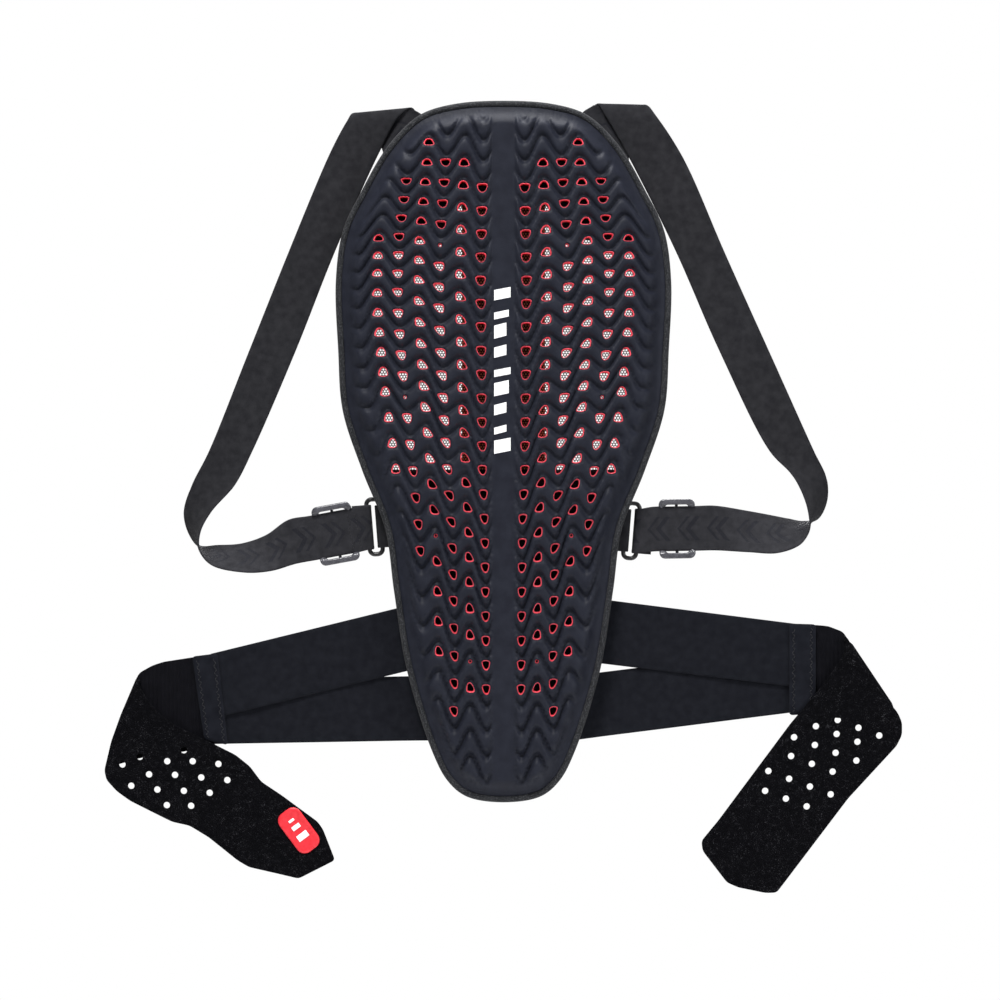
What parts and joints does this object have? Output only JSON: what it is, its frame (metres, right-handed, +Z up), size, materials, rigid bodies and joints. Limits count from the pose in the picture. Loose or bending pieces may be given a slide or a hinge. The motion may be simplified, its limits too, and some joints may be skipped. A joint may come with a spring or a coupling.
{
  "type": "motorcycle back protector",
  "caption": "Perforated wave-ribbed foam back plate with lined backing, elastic shoulder loops with adjusters, and a two-band kidney belt with folding closure tabs.",
  "frame": {"origin": "on the flat rear face of the spine liner, at half height on the centre line", "axes": "+Z up along the spine, +Y towards the wearer, +X to the right as seen from outside"},
  "size_m": [0.6113, 0.0454, 0.6073],
  "materials": {
    "plate_foam": "moulded perforated foam, satin",
    "core_foam": "dense foam layer, matte",
    "spacer_net": "open knitted net",
    "lining": "brushed knitted lining",
    "binding_tape": "heathered woven edge tape",
    "strap_elastic": "woven elastic with a tonal pattern",
    "belt_elastic": "woven elastic",
    "ribbed_elastic": "ribbed woven elastic",
    "coated_metal": "black coated wire",
    "slider_plastic": "moulded acetal, semi-gloss",
    "loop_pile": "brushed loop pile with punched holes",
    "hook_tape": "moulded hook tape",
    "badge_rubber": "moulded soft rubber"
  },
  "bodies": {
    "root": {"outer_plate": "plate_foam", "impact_core": "core_foam", "spacer_mesh": "spacer_net", "yoke_panel": "lining", "lumbar_panel": "lining", "spine_liner": "lining", "edge_binding": "binding_tape", "strap_tail_left": "strap_elastic", "ring_tab_left": "strap_elastic", "belt_anchor_upper_left": "belt_elastic", "belt_anchor_lower_left": "belt_elastic", "strap_tail_right": "strap_elastic", "ring_tab_right": "strap_elastic", "belt_anchor_upper_right": "belt_elastic", "belt_anchor_lower_right": "belt_elastic"},
    "loop_left": {"shoulder_strap_left": "strap_elastic", "strap_ring_left": "coated_metal"},
    "slider_left": {"strap_slider_left": "slider_plastic", "strap_end_left": "strap_elastic"},
    "belt_left": {"belt_band_upper_left": "belt_elastic", "belt_band_lower_left": "belt_elastic", "belt_join_left": "belt_elastic", "wing_elastic_left": "ribbed_elastic"},
    "closure_left": {"closure_tab_left": "loop_pile", "tab_badge": "badge_rubber"},
    "loop_right": {"shoulder_strap_right": "strap_elastic", "strap_ring_right": "coated_metal"},
    "slider_right": {"strap_slider_right": "slider_plastic", "strap_end_right": "strap_elastic"},
    "belt_right": {"belt_band_upper_right": "belt_elastic", "belt_band_lower_right": "belt_elastic", "belt_join_right": "belt_elastic", "wing_elastic_right": "ribbed_elastic"},
    "closure_right": {"closure_tab_right": "loop_pile", "hook_patch_right": "hook_tape"}
  },
  "joints": [
    {"name": "loop_swing_left", "type": "hinge", "parent": "root", "child": "loop_left", "pos_m": [-0.09472, 0.0095, -0.05761], "axis": [0.0785, 0, -0.9969], "range_deg": [0, 100]},
    {"name": "slider_travel_left", "type": "slide", "parent": "loop_left", "child": "slider_left", "axis": [-0.9833, 0, -0.1822], "range_m": [0, 0.03]},
    {"name": "belt_swing_left", "type": "hinge", "parent": "root", "child": "belt_left", "pos_m": [-0.086, 0.0067, -0.17], "axis": [0, 0, -1], "range_deg": [-35, 100]},
    {"name": "closure_fold_left", "type": "hinge", "parent": "belt_left", "child": "closure_left", "pos_m": [-0.2949, 0.0026, -0.2079], "axis": [-0.3092, 0, -0.951], "range_deg": [0, 172]},
    {"name": "loop_swing_right", "type": "hinge", "parent": "root", "child": "loop_right", "pos_m": [0.09392, 0.0095, -0.06061], "axis": [0.0785, 0, 0.9969], "range_deg": [0, 100]},
    {"name": "slider_travel_right", "type": "slide", "parent": "loop_right", "child": "slider_right", "axis": [0.9998, 0, 0.0174], "range_m": [0, 0.03]},
    {"name": "belt_swing_right", "type": "hinge", "parent": "root", "child": "belt_right", "pos_m": [0.086, 0.0067, -0.17], "axis": [0, 0, 1], "range_deg": [-35, 100]},
    {"name": "closure_fold_right", "type": "hinge", "parent": "belt_right", "child": "closure_right", "pos_m": [0.28415, 0.0026, -0.1743], "axis": [-0.5034, 0, 0.864], "range_deg": [0, 172]}
  ]
}
